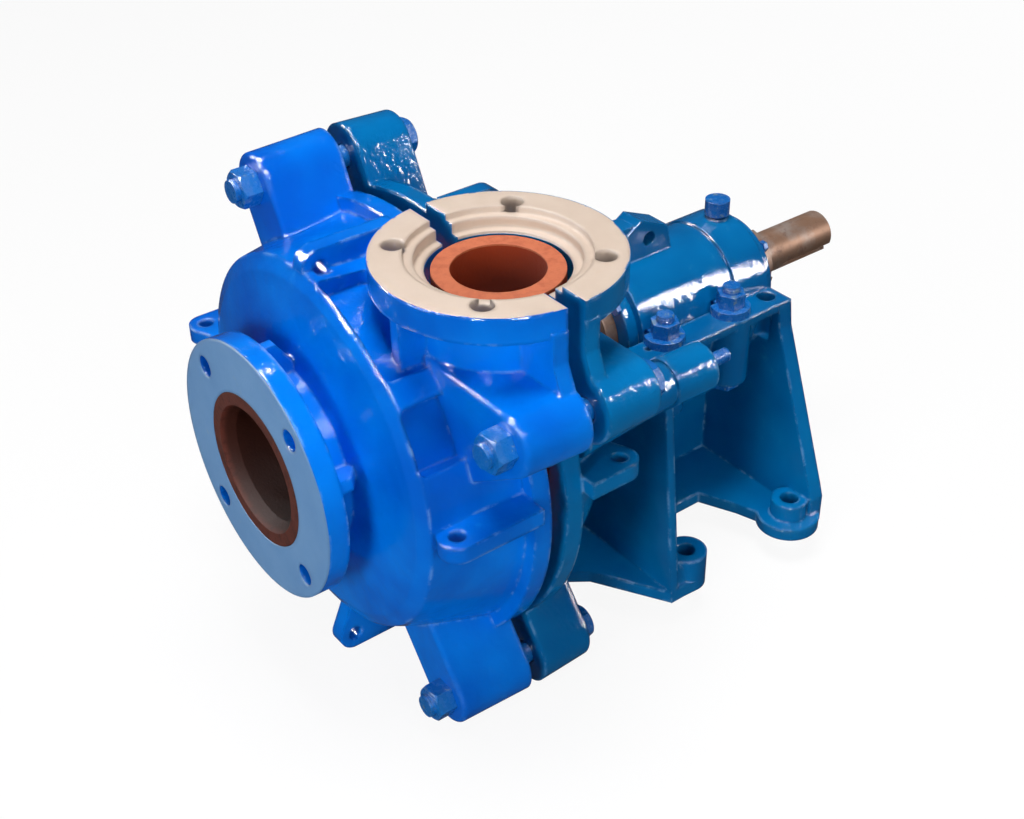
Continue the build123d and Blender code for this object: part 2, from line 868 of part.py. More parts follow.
def roller_bearing(start):
    end = start + bearing_width
    outer = tube(start, end, race_outer_r - stud_fit, race_inner_r)
    inner = tube(start + stud_fit, end - stud_fit, track_r, bearing_bore_r + stud_fit)
    roller_start = start + (bearing_width - roller_length) / 2
    rollers = []
    cage = tube(
        roller_start - cage_wall, roller_start + roller_length + cage_wall,
        roller_pitch_r + cage_wall / 2, roller_pitch_r - cage_wall / 2)
    for k in range(roller_count):
        turn = math.radians(360 / roller_count * k)
        y = roller_pitch_r * math.cos(turn)
        z = roller_pitch_r * math.sin(turn)
        rollers.append(bar(roller_start, roller_start + roller_length, roller_r, y, z))
        cage -= bar(roller_start, roller_start + roller_length, roller_r + stud_fit, y, z)
    return outer, inner, group(rollers), cage


front_outer, front_inner, front_rollers, front_cage = roller_bearing(front_bearing_s)
rear_outer, rear_inner, rear_rollers, rear_cage = roller_bearing(rear_bearing_s)

# Bearing housing, covers, plug and grease cup

housing = turned(
    (housing_front, race_outer_r),
    (housing_front, housing_r),
    (land_start, housing_r),
    (land_start, housing_r - groove_depth),
    (land_start + groove_width, housing_r - groove_depth),
    (land_start + groove_width, land_r),
    (housing_end, land_r),
    (housing_end, race_outer_r),
)
lug_root_z = housing_r * 0.9
housing += extrude(along(90.0) * outline(
    (lug_start, lug_root_z),
    (lug_start, lug_shoulder_z),
    (lug_peak_s, lug_peak_z),
    (lug_end - lug_thick / 4, lug_shoulder_z),
    (lug_end, lug_root_z),
), lug_thick / 2, both=True)
housing += post(lug_root_z, plug_top_z, plug_r, plug_s, 0)
housing += post(lug_root_z, land_r + groove_depth, grease_neck_r * 1.5, grease_s, 0)
lug_hole = along(90.0) * Pos(lug_hole_s, lug_hole_z) * Circle(lug_hole_r)
housing -= extrude(lug_hole, lug_thick, both=True)
arm_top = -(land_r - arm_thick)
arm_low = -math.sqrt(land_r ** 2 - (arm_width / 2) ** 2)
housing += extrude(along(90.0) * outline(
    (housing_end - overrun, arm_top),
    (lug_plate_s + lug_plate_thick, arm_top),
    (lug_plate_s + lug_plate_thick, screw_z - lug_plate_drop),
    (lug_plate_s, screw_z - lug_plate_drop),
    (lug_plate_s, arm_low),
    (housing_end - overrun, arm_low),
), arm_width / 2, both=True)
housing -= bar(housing_front - overrun, housing_end + overrun, race_outer_r)
housing -= bar(lug_plate_s - overrun, lug_plate_s + lug_plate_thick + overrun,
               screw_r + bolt_clearance / 2, 0, screw_z)
slot_half = clamp_tongue_width / 2 + push_out + bolt_clearance
for side in (-1, 1):
    for s in (clamp_front_s, clamp_rear_s):
        slot = level(top_plate_z - running_gap, s, side * (clamp_tongue_y - running_gap))
        slot = slot * Pos(0, side * clamp_tongue_y / 2) * Rectangle(slot_half * 2, clamp_tongue_y)
        housing -= extrude(slot, clamp_washer_thick + running_gap * 2)

front_cover_start = housing_front - cover_thick
front_cover = tube(front_cover_start, housing_front, cover_r, shaft_land_r + running_gap * 2)
front_cover += tube(housing_front, front_bearing_s - bearing_width / 6, race_outer_r - stud_fit, race_inner_r)
rear_cover = tube(housing_end + shim_thick, housing_end + cover_thick, cover_r, shaft_rear_r + running_gap * 2)
rear_cover += tube(rear_bearing_end, housing_end + shim_thick, race_outer_r - stud_fit, race_inner_r)
shims = tube(housing_end, housing_end + shim_thick, cover_r, race_outer_r)
cover_screws = []
for k in range(cover_screw_count):
    turn = math.radians(360 / cover_screw_count * (k + 0.5))
    y = (race_outer_r + cover_r) / 2 * math.cos(turn)
    z = (race_outer_r + cover_r) / 2 * math.sin(turn)
    screw = hex_bar(front_cover_start - cover_screw_head, front_cover_start, cover_screw_flats, y, z)
    cover_screws.append(screw)
    start = housing_end + cover_thick
    cover_screws.append(hex_bar(start, start + cover_screw_head, cover_screw_flats, y, z))
grease_neck = post(land_r + groove_depth, grease_neck_top_z + grease_cap_wall, grease_neck_r, grease_s, 0)
cap_low = grease_neck_top_z
grease_cap = post(cap_low, grease_cap_top_z, grease_cap_r, grease_s, 0)
grease_cap -= post(cap_low - overrun, grease_neck_top_z + grease_cap_wall + running_gap,
                   grease_neck_r + running_gap, grease_s, 0)

# Adjusting screw and its nuts

rear_wall_end = rear_wall_s + rear_wall_thick
adjusting_screw = hex_nut(rear_wall_s, rear_wall_s - screw_head_height, screw_flats, screw_r, 0, screw_z)
adjusting_screw += bar(rear_wall_s - screw_head_height, screw_end, screw_r, 0, screw_z)
lock_start = rear_wall_end
screw_lock_nut = hex_nut(lock_start, lock_start + screw_nut_height, screw_flats, screw_r + stud_fit, 0, screw_z)
nut_bore = screw_r + stud_fit
lug_plate_end = lug_plate_s + lug_plate_thick
adjusting_nut = group([
    hex_nut(lug_plate_s - running_gap, lug_plate_s - running_gap - screw_nut_height,
            screw_flats, nut_bore, 0, screw_z),
    hex_nut(lug_plate_end + running_gap, lug_plate_end + running_gap + screw_nut_height,
            screw_flats, nut_bore, 0, screw_z),
])

# Base

floor_z = -shaft_height
floor_top = floor_z + floor_thick
front_foot_s = base_to_suction - foot_spacing_x / 2
rear_foot_s = base_to_suction + foot_spacing_x / 2
foot_y = foot_spacing_y / 2
half_floor = outline(
    (toe_front, 0),
    (toe_front, toe_y),
    (front_wall_s - front_foot_r * 2, toe_y + front_foot_r),
    (front_wall_s, foot_y + front_foot_r * 0.9),
    (front_foot_s, foot_y + front_foot_r),
    (front_foot_s + front_foot_r, foot_y),
    (front_foot_s + front_foot_r, foot_y - front_foot_r),
    (notch_start, notch_y),
    (notch_end, notch_y),
    (rear_foot_s - rear_pad_r, notch_y + rear_pad_r * 1.2),
    (rear_foot_s - rear_foot_r, foot_y),
    (rear_foot_s, foot_y + rear_foot_r),
    (rear_wall_end, foot_y + rear_foot_r),
    (rear_wall_end, 0),
)
half_base = extrude(level(floor_z) * half_floor, floor_thick)
half_base += post(floor_z, floor_top, front_foot_r, front_foot_s, foot_y)
half_base += post(floor_z, floor_z + front_foot_height, front_foot_r, front_foot_s, foot_y)
rear_pad = post(floor_z, floor_top, rear_pad_r, rear_foot_s, foot_y)
half_base += rear_pad + post(floor_z, floor_z + rear_foot_height, rear_foot_r, rear_foot_s, foot_y)
half_base += extrude(across(front_wall_s) * outline(
    (0, floor_z),
    (front_wall_foot_y, floor_z),
    (front_wall_top_y, 0),
    (front_wall_top_y, frame_stud_z),
    (top_plate_y, top_plate_z),
    (0, top_plate_z),
), front_wall_thick)
half_base += extrude(across(front_wall_s) * outline(
    (front_wall_foot_y - front_wall_thick * 3, floor_z),
    (front_wall_foot_y, floor_z),
    (front_wall_foot_y - front_wall_thick, floor_z + front_foot_height),
    (front_wall_foot_y - front_wall_thick * 3, floor_z + front_foot_height),
), front_foot_s - front_wall_s)
half_base += extrude(across(rear_wall_s) * outline(
    (0, floor_z),
    (foot_y + rear_foot_r, floor_z),
    (foot_y + rear_foot_r, floor_z + rear_foot_height),
    (rear_wall_foot_y, rear_wall_foot_z),
    (rear_wall_top_y, -rear_wall_thick),
    (top_plate_y, top_plate_z),
    (0, top_plate_z),
), rear_wall_thick)
half_base += extrude(across(front_wall_s) * Pos(web_thick / 4, (floor_z - housing_r) / 2) * Rectangle(
    web_thick / 2, shaft_height - housing_r), rear_wall_s - front_wall_s)
cradle_r = land_r + cradle_wall
half_base += extrude(across(front_wall_s) * (
    Pos(cradle_r / 2, -cradle_r / 2) * Rectangle(cradle_r, cradle_r) & Circle(cradle_r)
), rear_wall_end - front_wall_s)
half_base += extrude(level(top_plate_z - top_plate_thick) * outline(
    (front_wall_s, 0),
    (front_wall_s, top_plate_y),
    (top_plate_front, top_plate_y - pin_hole_r),
    (clamp_front_s, top_plate_y),
    (rear_wall_end, top_plate_y),
    (rear_wall_end, 0),
), top_plate_thick)
half_base += extrude(across(front_wall_s) * (
    Pos(cradle_r / 2, top_plate_z / 2 - cradle_wall / 2) * Rectangle(cradle_r, top_plate_z + cradle_wall)
), rear_wall_end - front_wall_s)
for s in (clamp_front_s, clamp_rear_s):
    half_base += post(clamp_boss_low_z, top_plate_z, clamp_boss_r, s, clamp_y)
block = hull([
    (frame_stud_y, frame_stud_z, lug_block_r),
    (lug_block_foot_y, lug_block_foot_z, lug_block_r),
])
half_base += extrude(across(lug_block_front) * block, lug_block_back - lug_block_front)
half_base += extrude(across(toe_front) * outline(
    (0, floor_z),
    (toe_y, floor_z),
    (toe_y, toe_wall_top_z - toe_wall_thick),
    (toe_y - toe_wall_thick, toe_wall_top_z),
    (0, toe_wall_top_z),
), toe_wall_thick)
half_base -= bar(front_wall_s - overrun, land_start - push_in - bolt_clearance / 2, housing_r + running_gap)
half_base -= bar(land_start - push_in - bolt_clearance / 2, rear_wall_end + overrun, land_r + running_gap)
half_base -= extrude(
    across(front_wall_s - overrun) * Pos(0, housing_r) * Rectangle(
        (housing_r + running_gap) * 2, housing_r * 2),
    rear_wall_end - front_wall_s + overrun * 2,
)
half_base -= post(floor_z - overrun, floor_z + shaft_height, foot_hole_r, front_foot_s, foot_y)
half_base -= post(floor_z - overrun, floor_z + shaft_height, foot_hole_r, rear_foot_s, foot_y)
half_base -= post(-top_plate_thick * 4, top_plate_z + overrun, top_hole_r, top_hole_s, top_hole_y)
half_base -= post(-top_plate_thick, top_plate_z + overrun, pin_hole_r, pin_hole_s, top_hole_y)
for s in (clamp_front_s, clamp_rear_s):
    half_base -= post(clamp_boss_low_z - overrun, top_plate_z + overrun, clamp_bolt_r + bolt_clearance / 2, s, clamp_y)
for y, z, front, back in stud_places:
    if y > 0:
        half_base -= bar(front - overrun, back + overrun, frame_stud_r + bolt_clearance / 2, y, z)
base_frame = mirrored(half_base)
base_frame -= bar(rear_wall_s - overrun, rear_wall_end + overrun, screw_r + stud_fit, 0, screw_z)
head_room = rear_wall_s - screw_head_height * 2
base_frame -= bar(head_room, rear_wall_s, screw_flats * head_room_share, 0, screw_z)

# Studs of the frame plate, clamp bolts, washers and nuts

frame_studs = []
frame_nuts = []
for y, z, front, back in stud_places:
    nut_end = back + frame_nut_height
    frame_studs.append(bar(front - frame_stud_depth, nut_end + frame_stud_tip, frame_stud_r, y, z))
    frame_nuts.append(hex_nut(back, nut_end, frame_nut_flats, frame_stud_r + stud_fit, y, z))

washer_top = top_plate_z + clamp_washer_thick
nut_top = washer_top + clamp_nut_height


def upright_hex(low, high, flats, s, y):
    return extrude(level(low, s, y) * hexagon(flats), high - low)


clamp_bolts = []
clamp_washers = []
clamp_nuts = []
for side in (-1, 1):
    for s in (clamp_front_s, clamp_rear_s):
        y = clamp_y * side
        head_low = clamp_boss_low_z - clamp_head_height
        bolt = upright_hex(head_low, clamp_boss_low_z, clamp_nut_flats, s, y)
        bolt += post(head_low, nut_top + clamp_bolt_tip, clamp_bolt_r, s, y)
        clamp_bolts.append(bolt)
        tongue_length = clamp_y - clamp_tongue_y
        tongue = Pos(0, -side * tongue_length / 2) * Rectangle(clamp_tongue_width, tongue_length)
        disc_y = land_r + running_gap - clamp_y
        disc = Circle(clamp_washer_r) & (Pos(0, side * (clamp_y / 2 + disc_y)) * Rectangle(clamp_y, clamp_y))
        washer = extrude(level(top_plate_z, s, y) * (disc + tongue), clamp_washer_thick)
        washer -= post(top_plate_z - overrun, washer_top + overrun, clamp_bolt_r + stud_fit, s, y)
        clamp_washers.append(washer)
        nut = upright_hex(washer_top, nut_top, clamp_nut_flats, s, y)
        clamp_nuts.append(nut - post(washer_top - overrun, nut_top + overrun, clamp_bolt_r + stud_fit, s, y))

nodes = {
    "base_frame": base_frame,
    "frame_plate": frame_plate,
    "cover_plate": cover,
    "casing_bolts": group(casing_bolts),
    "casing_nuts": group(casing_nuts),
    "volute_liner": liner,
    "throat_bush": bush,
    "back_liner": back_liner,
    "stuffing_box": stuffing_box,
    "neck_ring": neck_ring,
    "lantern_ring": lantern_ring,
    "packing_rings": group(packing_rings),
    "gland_halves": group([gland]),
    "gland_studs": group(gland_bolts),
    "gland_nuts": group(gland_nuts),
    "frame_studs": group(frame_studs),
    "frame_stud_nuts": group(frame_nuts),
    "clamp_bolts": group(clamp_bolts),
    "clamp_washers": group(clamp_washers),
    "clamp_nuts": group(clamp_nuts),
    "adjusting_screw": adjusting_screw,
    "screw_lock_nut": screw_lock_nut,
    "adjusting_nuts": adjusting_nut,
    "impeller": impeller,
    "shaft": shaft,
    "shaft_sleeve": shaft_sleeve,
    "front_labyrinth": front_labyrinth,
    "rear_labyrinth": rear_labyrinth,
    "bearing_lock_nut": lock_nut,
    "front_outer_race": front_outer,
    "front_inner_race": front_inner,
    "front_rollers": front_rollers,
    "front_cage": front_cage,
    "rear_outer_race": rear_outer,
    "rear_inner_race": rear_inner,
    "rear_rollers": rear_rollers,
    "rear_cage": rear_cage,
    "bearing_housing": housing,
    "front_end_cover": front_cover,
    "rear_end_cover": rear_cover,
    "cover_shims": shims,
    "end_cover_screws": group(cover_screws),
    "grease_neck": grease_neck,
    "grease_cap": grease_cap,
}
for name, piece in nodes.items():
    export_step(piece, f"parts/{name}.step")
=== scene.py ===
import math
import bpy
import numpy as np
from mathutils import Matrix, Vector


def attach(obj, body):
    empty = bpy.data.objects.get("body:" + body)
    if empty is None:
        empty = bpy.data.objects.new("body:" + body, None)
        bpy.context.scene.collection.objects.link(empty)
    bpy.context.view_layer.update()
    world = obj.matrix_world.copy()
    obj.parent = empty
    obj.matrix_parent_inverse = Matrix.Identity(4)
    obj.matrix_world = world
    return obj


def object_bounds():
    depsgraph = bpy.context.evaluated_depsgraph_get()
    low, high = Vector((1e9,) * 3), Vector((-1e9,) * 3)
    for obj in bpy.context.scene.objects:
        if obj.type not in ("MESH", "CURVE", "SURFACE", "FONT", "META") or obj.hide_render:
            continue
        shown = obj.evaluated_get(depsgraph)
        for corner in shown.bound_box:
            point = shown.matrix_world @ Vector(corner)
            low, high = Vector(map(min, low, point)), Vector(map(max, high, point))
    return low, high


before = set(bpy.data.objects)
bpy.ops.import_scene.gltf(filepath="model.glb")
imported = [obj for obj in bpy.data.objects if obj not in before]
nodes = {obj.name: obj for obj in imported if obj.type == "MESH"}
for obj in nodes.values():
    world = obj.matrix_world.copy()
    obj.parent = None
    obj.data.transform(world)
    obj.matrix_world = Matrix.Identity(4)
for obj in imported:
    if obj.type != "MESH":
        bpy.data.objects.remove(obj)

cadBox = [[float(v) for v in corner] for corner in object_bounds()]
print("pump loaded:", len(nodes), "pieces")


def srgb(r, g, b):
    # screen colour, 0 to 255, to the linear colour that shaders use
    def lin(v):
        v = v / 255
        return v / 12.92 if v <= 0.04045 else ((v + 0.055) / 1.055) ** 2.4
    return (lin(r), lin(g), lin(b), 1.0)


class Value:
    # a shader socket that can be used in sums
    def __init__(self, finish, socket):
        self.finish = finish
        self.socket = socket

    def maths(self, operation, other=None, flip=False):
        a, b = (other, self) if flip else (self, other)
        inputs = {0: a}
        if b is not None:
            inputs[1] = b
        return self.finish.node("ShaderNodeMath", {"operation": operation}, inputs).out(0)

    def __add__(self, other):
        return self.maths("ADD", other)

    __radd__ = __add__

    def __mul__(self, other):
        return self.maths("MULTIPLY", other)

    __rmul__ = __mul__

    def __sub__(self, other):
        return self.maths("SUBTRACT", other)

    def __rsub__(self, other):
        return self.maths("SUBTRACT", other, flip=True)

    def sqrt(self):
        return self.maths("SQRT")

    def size(self):
        return self.maths("ABSOLUTE")

    def upper(self, other):
        return self.maths("MAXIMUM", other)

    def rise(self, low, high):
        # 0 below low, 1 above high, smooth between; low may be the larger one
        settings = {"interpolation_type": "SMOOTHSTEP"}
        return self.finish.node("ShaderNodeMapRange", settings, {0: self, 1: low, 2: high}).out(0)


class Node:
    def __init__(self, finish, node):
        self.finish = finish
        self.node = node

    def out(self, which):
        return Value(self.finish, self.node.outputs[which])


class Finish:
    # one procedural material
    def __init__(self, name):
        self.material = bpy.data.materials.new(name)
        self.material.use_nodes = True
        self.tree = self.material.node_tree
        self.tree.nodes.clear()
        self.place = self.node("ShaderNodeTexCoord").out("Object")
        split = self.node("ShaderNodeSeparateXYZ", {}, {0: self.place})
        self.x, self.y, self.z = split.out(0), split.out(1), split.out(2)

    def node(self, kind, settings=None, inputs=None):
        new = self.tree.nodes.new(kind)
        for key, value in (settings or {}).items():
            setattr(new, key, value)
        for key, value in (inputs or {}).items():
            if isinstance(value, Value):
                self.tree.links.new(value.socket, new.inputs[key])
            else:
                new.inputs[key].default_value = value
        return Node(self, new)

    def noise(self, scale, detail, roughness, stretch=None, distortion=0.0):
        place = self.place
        if stretch:
            place = self.node("ShaderNodeMapping", {}, {0: self.place, 3: stretch}).out(0)
        inputs = {
            "Vector": place, "Scale": scale, "Detail": detail,
            "Roughness": roughness, "Distortion": distortion}
        return self.node("ShaderNodeTexNoise", {}, inputs).out(0)

    def mix(self, amount, first, second):
        return self.node("ShaderNodeMix", {"data_type": "RGBA"}, {0: amount, 6: first, 7: second}).out(2)

    def bump(self, pattern, height, strength, normal):
        inputs = {"Height": pattern, "Distance": height, "Strength": strength, "Normal": normal}
        return self.node("ShaderNodeBump", {}, inputs).out(0)

    def softEdges(self, radius, samples=4):
        return self.node("ShaderNodeBevel", {"samples": samples}, {"Radius": radius}).out(0)

    def surface(self, **inputs):
        named = {key.replace("_", " "): value for key, value in inputs.items()}
        shader = self.node("ShaderNodeBsdfPrincipled", {}, named)
        output = self.tree.nodes.new("ShaderNodeOutputMaterial")
        self.tree.links.new(shader.node.outputs[0], output.inputs[0])
        return self.material


# In the dictionaries below a pattern is the fineness, detail and roughness of a noise, an edge is
# where a mask starts and where it is full, and a bump is a height in metres and a strength

# Places that the finishes follow, in metres
pump = {
    "shaftHeight": 0.216,
    "dischargeX": -0.254,
    "dischargeY": -0.1025,
    "splitMiddle": -0.259,
    "suctionFaceEdge": (-0.4312, -0.4317),
    "throatEdge": (-0.4316, -0.426),
    "portRimEdge": (0.1012, 0.1006),
    "portWearEdge": (0.0990, 0.1012),
    "portHeightEdge": (0.3865, 0.3875),
    "portInsideEdge": (0.3868, 0.3862),
    "splitEdge": (0.0081, 0.0085),
    "screwStart": 0.08,
    "screwEnd": 0.15,
}

blueEnamel = {
    "deep": srgb(0, 88, 194),
    "bright": srgb(0, 124, 230),
    "clouds": (7.0, 3.0, 0.55),
    "cloudEdge": (0.3, 0.7),
    "dust": srgb(40, 150, 232),
    "specks": (55.0, 4.0, 0.6),
    "dustEdge": (0.62, 0.8),
    "dustShare": 0.25,
    "roughness": 0.05,
    "dullEdge": (0.4, 0.8),
    "dullShare": 0.1,
    # the pale blue below is a painted highlight, mixed into the colour along convex and concave edges
    # and broken up by a noise
    "paintedHighlight": srgb(150, 206, 250),
    "paintedHighlightEdge": (0.985, 0.86),
    "paintedHighlightBreaks": (42.0, 4.0, 0.62),
    "paintedHighlightBreakEdge": (0.48, 0.64),
    "paintedHighlightShare": 0.45,
    "lumps": (70.0, 3.0, 0.5),
    "lumpTwist": 0.4,
    "lumpBump": (0.0009, 0.8),
    "runs": (60.0, 2.0, 0.5),
    "runStretch": (1.0, 1.0, 0.16),
    "runBump": (0.0012, 0.35),
    "grain": (420.0, 2.0, 0.6),
    "grainBump": (0.00018, 0.6),
    "softEdge": 0.005,
}
# the frame plate, the base and the bearing housing take a greener, darker copy of the cover's enamel:
# painted light and shade, standing for how the one enamel looks on these parts under the top light
framePaintedLightBlue = dict(blueEnamel, deep=srgb(0, 86, 146), bright=srgb(2, 112, 174), dust=srgb(60, 146, 190))

# The suction face is turned and blue-grey, and the discharge face is turned and cream
turnedFace = {
    "greyBlue": srgb(84, 136, 192),
    "greyBlueLight": srgb(118, 164, 210),
    "greyBlueClouds": (24.0, 4.0, 0.6),
    "greyBlueChip": srgb(128, 158, 188),
    "chips": (38.0, 4.0, 0.6),
    "chipEdge": (0.66, 0.72),
    "chipShare": 0.5,
    "wearEdge": (0.55, 0.6),
    "cream": srgb(198, 180, 164),
    "creamDark": srgb(182, 160, 142),
    "creamClouds": (30.0, 4.0, 0.6),
    "creamStain": srgb(190, 165, 140),
    "stains": (90.0, 3.0, 0.65),
    "stainEdge": (0.6, 0.78),
    "stainShare": 0.35,
    "roughness": 0.46,
    "grooves": 9000.0,
    "grooveHeight": 0.015,
}


def turnedFaces(f, colour, rough, lump):
    # lays the two turned faces over the enamel; the last value is 1 where the enamel shows
    face = turnedFace
    rise = f.z - pump["shaftHeight"]
    shaftRadius = (f.y * f.y + rise * rise).sqrt()
    faceMask = f.x.rise(*pump["suctionFaceEdge"])
    dx = f.x - pump["dischargeX"]
    dy = f.y - pump["dischargeY"]
    portRadius = (dx * dx + dy * dy).sqrt()
    creamMask = portRadius.rise(*pump["portRimEdge"]) * f.z.rise(*pump["portHeightEdge"])
    creamMask = creamMask * (f.x - pump["splitMiddle"]).size().rise(*pump["splitEdge"])
    chips = f.noise(*face["chips"])
    edgeWear = portRadius.rise(*pump["portWearEdge"]) * chips.rise(*face["wearEdge"])
    creamMask = creamMask * (1.0 - edgeWear)
    greyBlue = f.mix(f.noise(*face["greyBlueClouds"]), face["greyBlue"], face["greyBlueLight"])
    greyBlue = f.mix(chips.rise(*face["chipEdge"]) * face["chipShare"], greyBlue, face["greyBlueChip"])
    cream = f.mix(f.noise(*face["creamClouds"]), face["cream"], face["creamDark"])
    stain = f.noise(*face["stains"]).rise(*face["stainEdge"]) * face["stainShare"]
    cream = f.mix(stain, cream, face["creamStain"])
    colour = f.mix(faceMask, colour, greyBlue)
    colour = f.mix(creamMask, colour, cream)
    turned = faceMask.upper(creamMask)
    enamelled = 1.0 - turned
    grooves = ((portRadius * creamMask + shaftRadius * faceMask) * face["grooves"]).maths("SINE")
    rough = rough * enamelled + turned * face["roughness"]
    lump = lump * enamelled + grooves * turned * face["grooveHeight"]
    return colour, rough, lump, enamelled


def castEnamel(name, tone, turned=False, lumps=1.0, soft=1.0):
    # glossy enamel brushed over a sand casting, with a painted highlight of pale blue along its edges,
    # and turned faces where asked
    f = Finish(name)
    specks = f.noise(*tone["specks"])
    colour = f.mix(f.noise(*tone["clouds"]).rise(*tone["cloudEdge"]), tone["deep"], tone["bright"])
    colour = f.mix(specks.rise(*tone["dustEdge"]) * tone["dustShare"], colour, tone["dust"])
    rough = tone["roughness"] + tone["dullShare"] * specks.rise(*tone["dullEdge"])
    lump = f.noise(*tone["lumps"], distortion=tone["lumpTwist"]) * lumps
    enamelled = 1.0
    if turned:
        colour, rough, lump, enamelled = turnedFaces(f, colour, rough, lump)
    normal = f.softEdges(tone["softEdge"] * soft)
    facing = f.node("ShaderNodeNewGeometry").out("Normal")
    along = f.node("ShaderNodeVectorMath", {"operation": "DOT_PRODUCT"}, {0: normal, 1: facing})
    # painted highlight: where the rounded normal turns away from the surface's own, the colour is mixed
    # towards a pale blue
    paintedHighlight = along.out("Value").rise(*tone["paintedHighlightEdge"])
    paintedHighlight = paintedHighlight * f.noise(*tone["paintedHighlightBreaks"]).rise(*tone["paintedHighlightBreakEdge"])
    colour = f.mix(paintedHighlight * tone["paintedHighlightShare"] * enamelled, colour, tone["paintedHighlight"])
    runs = f.noise(*tone["runs"], stretch=tone["runStretch"])
    normal = f.bump(lump, *tone["lumpBump"], normal)
    normal = f.bump(runs * enamelled, *tone["runBump"], normal)
    normal = f.bump(f.noise(*tone["grain"]), *tone["grainBump"], normal)
    return f.surface(Base_Color=colour, Roughness=rough, Normal=normal)


redPrimer = {
    "ring": srgb(190, 102, 66),
    "ringDark": srgb(172, 86, 54),
    # the next two reds are painted shade: darker reds laid inside the discharge port and the throat
    # bush, where the bores fall into shade
    "paintedShadeBore": srgb(150, 52, 18),
    "paintedShadeThroat": srgb(58, 26, 18),
    "lip": srgb(92, 44, 34),
    "lipDark": srgb(66, 30, 24),
    "spots": (140.0, 4.0, 0.6),
    "spotEdge": (0.25, 0.6),
    "spotDullness": 0.2,
    "roughness": 0.55,
    "shine": 0.12,
    "grain": (420.0, 3.0, 0.6),
    "grainBump": (0.0005, 0.7),
    "softEdge": 0.0012,
}


def portInside(f):
    return f.z.rise(*pump["portInsideEdge"])


def throatInside(f):
    return f.x.rise(*pump["throatEdge"])


def linerPrimer(name, light, dark, innerPaintedShade, innerPaintedShadeMask):
    # matt red primer on a cast liner, with a darker red painted on its inside as painted shade of the
    # bore
    f = Finish(name)
    tone = redPrimer
    spots = f.noise(*tone["spots"])
    colour = f.mix(spots.rise(*tone["spotEdge"]), tone[dark], tone[light])
    # painted shade: inside the bore the colour turns to a darker red
    colour = f.mix(innerPaintedShadeMask(f), colour, tone[innerPaintedShade])
    normal = f.bump(f.noise(*tone["grain"]), *tone["grainBump"], f.softEdges(tone["softEdge"]))
    rough = tone["roughness"] + tone["spotDullness"] * spots
    return f.surface(Base_Color=colour, Roughness=rough, Normal=normal, Specular_IOR_Level=tone["shine"])


wornPaint = {
    "paint": srgb(10, 112, 190),
    "paintDark": srgb(2, 84, 164),
    "clouds": (40.0, 3.0, 0.5),
    "metal": srgb(112, 142, 168),
    "metalShare": 0.35,
    "patches": (150.0, 4.0, 0.6),
    "patchFade": 0.04,
    "patchDepth": 0.4,
    "patchDullness": 0.15,
    "roughness": 0.2,
    "coat": 0.4,
    "coatRoughness": 0.08,
    "grain": (420.0, 2.0, 0.5),
    "grainBump": (0.0004, 0.8),
    "softEdge": 0.0012,
    "pitch": 0.0022,
    "threadBump": (0.0009, 1.0),
    "threadFade": 0.001,
}


def boltPaint(name, wear, threaded=False):
    # enamel on bolts, rubbed through where spanners and washers touch; the adjusting screw is threaded
    f = Finish(name)
    tone = wornPaint
    patch = f.noise(*tone["patches"])
    colour = f.mix(f.noise(*tone["clouds"]), tone["paintDark"], tone["paint"])
    bare = patch.rise(1.0 - wear, 1.0 - wear + tone["patchFade"])
    colour = f.mix(bare, colour, tone["metal"])
    grain = f.noise(*tone["grain"]) - bare * tone["patchDepth"]
    normal = f.bump(grain, *tone["grainBump"], f.softEdges(tone["softEdge"]))
    if threaded:
        low, high, fade = pump["screwStart"], pump["screwEnd"], tone["threadFade"]
        ridge = (f.x * (2 * math.pi / tone["pitch"])).maths("SINE")
        share = f.x.rise(low, low + fade) * f.x.rise(high, high - fade)
        normal = f.bump(ridge * share, *tone["threadBump"], normal)
    return f.surface(
        Base_Color=colour, Roughness=tone["roughness"] + tone["patchDullness"] * patch,
        Metallic=bare * tone["metalShare"], Normal=normal,
        Coat_Weight=tone["coat"] * (1.0 - bare), Coat_Roughness=tone["coatRoughness"])


rustySteel = {
    "steel": srgb(146, 132, 124),
    "brown": srgb(136, 104, 84),
    "clouds": (26.0, 5.0, 0.62),
    "cloudEdge": (0.35, 0.62),
    "rust": srgb(96, 62, 46),
    "film": (75.0, 5.0, 0.66),
    "filmEdge": (0.52, 0.72),
    "filmBump": (0.0003, 0.5),
    "filmDullness": 0.25,
    "roughness": 0.34,
    "metalShare": 0.55,
    "metalLost": 0.4,
    "lostEdge": (0.5, 0.75),
    "lines": (30.0, 2.0, 0.5),
    "lineStretch": (40.0, 1.0, 1.0),
    "lineBump": (0.0001, 0.5),
    "softEdge": 0.0006,
}


def turnedSteel(name, rust):
    # turned steel with a film of rust
    f = Finish(name)
    tone = rustySteel
    film = f.noise(*tone["film"])
    colour = f.mix(f.noise(*tone["clouds"]).rise(*tone["cloudEdge"]), tone["steel"], tone["brown"])
    colour = f.mix(film.rise(*tone["filmEdge"]) * rust, colour, tone["rust"])
    lines = f.noise(*tone["lines"], stretch=tone["lineStretch"])
    normal = f.bump(lines, *tone["lineBump"], f.softEdges(tone["softEdge"]))
    normal = f.bump(film, *tone["filmBump"], normal)
    rough = tone["roughness"] + tone["filmDullness"] * film
    metal = tone["metalShare"] - tone["metalLost"] * film.rise(*tone["lostEdge"]) * rust
    return f.surface(Base_Color=colour, Roughness=rough, Metallic=metal, Normal=normal)


